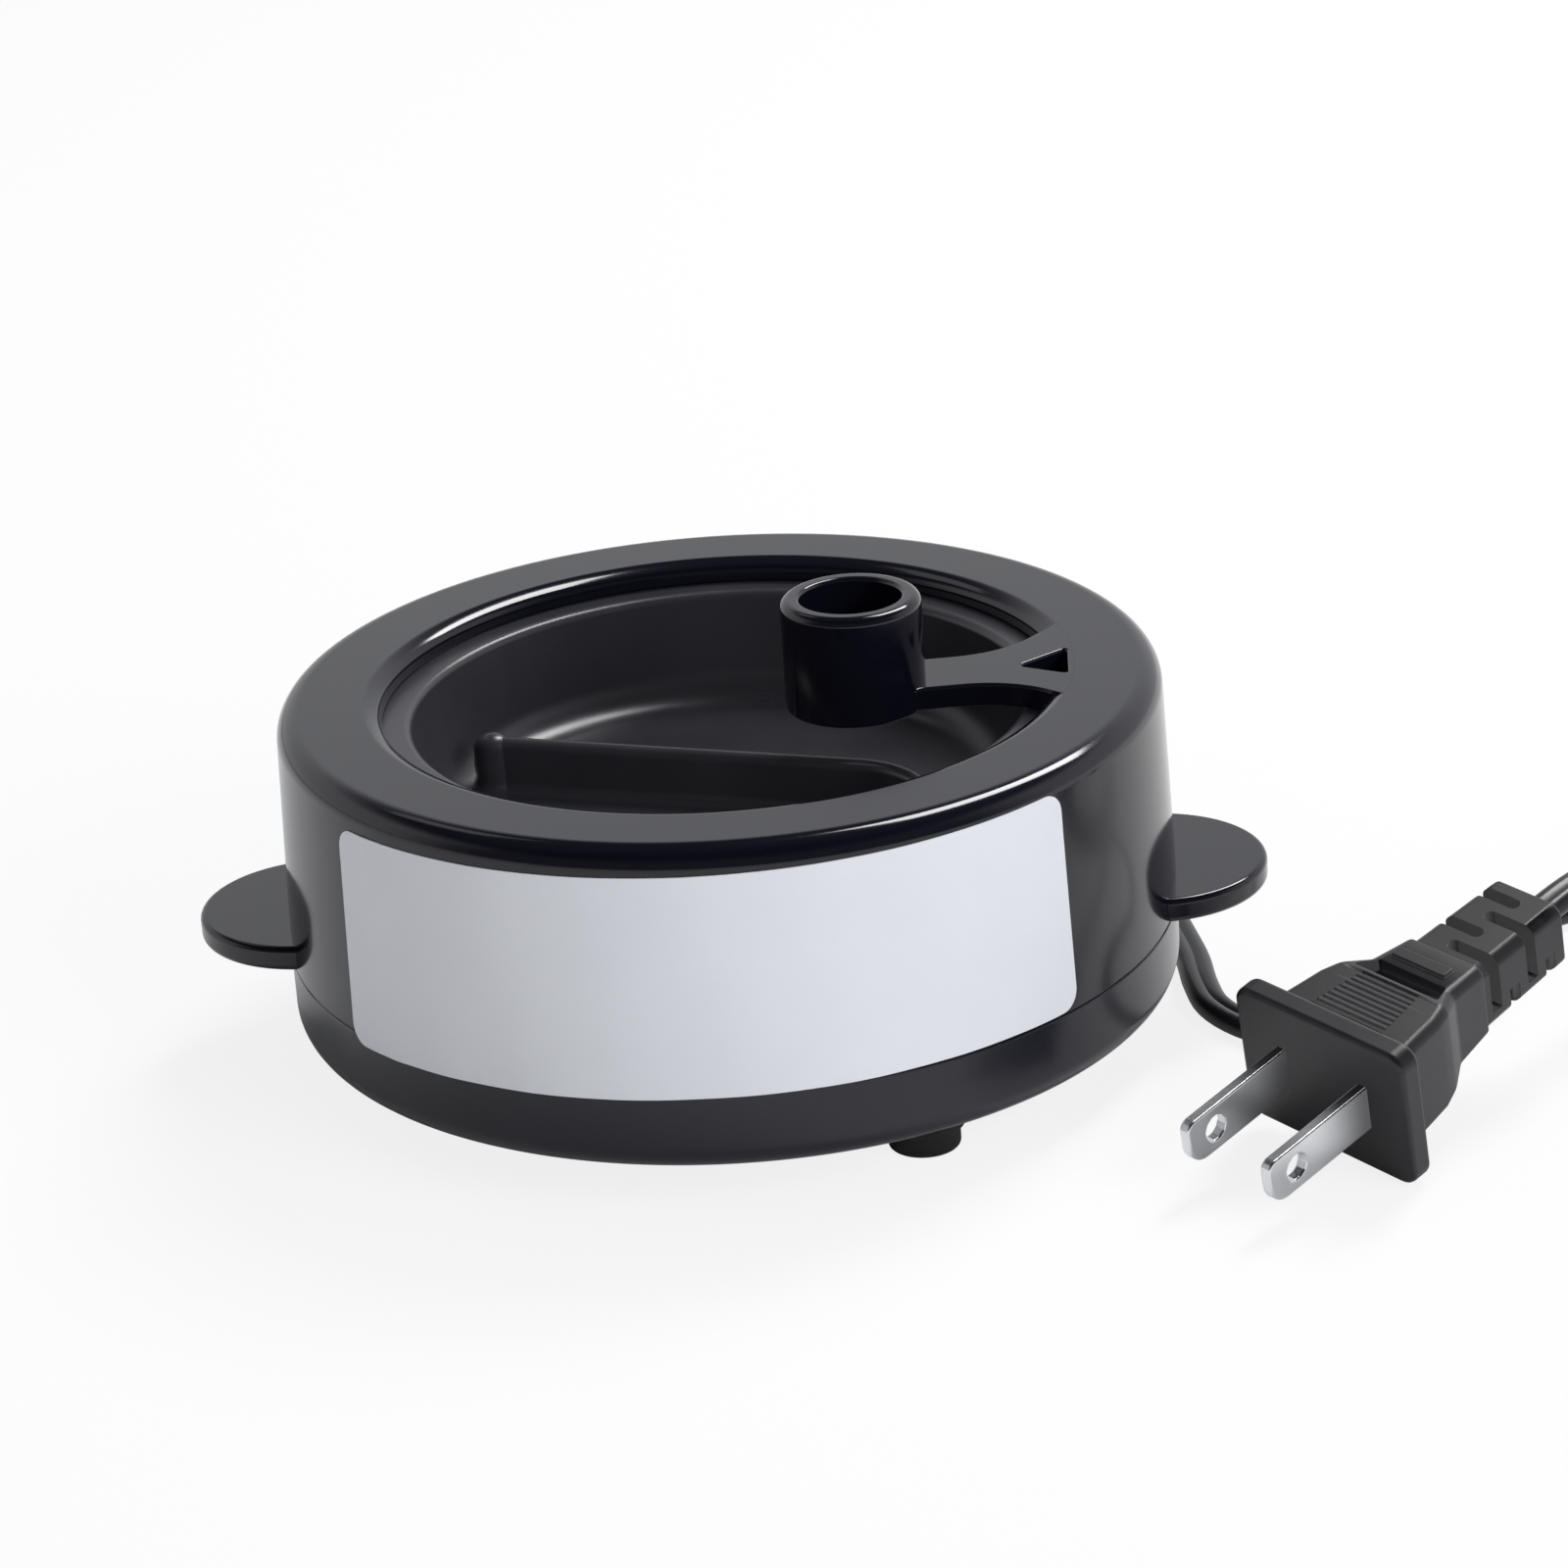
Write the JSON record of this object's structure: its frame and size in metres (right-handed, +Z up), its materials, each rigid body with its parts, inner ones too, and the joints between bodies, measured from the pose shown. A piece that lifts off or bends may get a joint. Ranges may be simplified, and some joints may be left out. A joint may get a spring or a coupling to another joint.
{
  "type": "floral hot glue pot",
  "caption": "Round electric glue pot with a ring rim, side ears, an upright stick guide over the pan, small feet and a flat lead with a blade plug.",
  "frame": {"origin": "on the table under the middle of the pot, at the centre of its box without the lead and plug", "axes": "+X towards the right ear beside the plug, +Y towards the back where the lead leaves, +Z up"},
  "size_m": [0.2662, 0.176, 0.0588],
  "materials": {
    "gloss_housing": "black plastic, moulded to a high gloss",
    "satin_base": "black plastic with a satin skin",
    "nonstick_pan": "cast aluminium under a dark soft-sheen non-stick coat",
    "blank_label": "white satin film, blank",
    "foot_rubber": "black rubber",
    "zinc_screw": "zinc plated steel",
    "mica": "mica sheet",
    "electrode_plate": "rolled aluminium plate",
    "ceramic_stone": "sintered ceramic heating stone",
    "clamp_steel": "pressed steel",
    "fuse_case": "thermal fuse case",
    "glass_sleeve": "braided glass-fibre sleeve",
    "crimp_brass": "crimp barrel",
    "wire_jacket": "silicone insulated wire",
    "shield_steel": "bright steel sheet",
    "clamp_plastic": "black plastic bar",
    "relief_rubber": "soft black moulding",
    "lead_jacket": "black vinyl jacket, satin",
    "tie_plastic": "flat black tie",
    "plug_plastic": "charcoal vinyl, satin",
    "blade_steel": "nickel plated blade"
  },
  "bodies": {
    "root": {"upper_housing": "gloss_housing", "lower_housing": "satin_base", "glue_pan": "nonstick_pan", "side_label": "blank_label", "foot_front_right": "foot_rubber", "foot_rear_right": "foot_rubber", "foot_left": "foot_rubber", "housing_screws": "zinc_screw", "pan_screws": "zinc_screw", "insulator_upper": "mica", "electrode_upper": "electrode_plate", "heater_stone": "ceramic_stone", "electrode_lower": "electrode_plate", "insulator_lower": "mica", "heater_clamp": "clamp_steel", "clamp_screws": "zinc_screw", "thermal_fuse": "fuse_case", "fuse_sleeve": "glass_sleeve", "fuse_clip": "clamp_steel", "fuse_clip_screw": "zinc_screw", "crimp_live": "crimp_brass", "crimp_link": "crimp_brass", "live_wire": "wire_jacket", "link_wire": "wire_jacket", "neutral_wire": "wire_jacket", "heat_shield": "shield_steel", "shield_screws": "zinc_screw", "cord_clamp": "clamp_plastic", "cord_clamp_screws": "zinc_screw", "cord_inner_end": "lead_jacket", "strain_relief": "relief_rubber", "cord_lead_pot": "lead_jacket", "cord_coil": "lead_jacket", "cord_tie": "tie_plastic", "cord_lead_plug": "lead_jacket", "plug_body": "plug_plastic", "plug_blade_left": "blade_steel", "plug_blade_right": "blade_steel"}
  },
  "joints": []
}
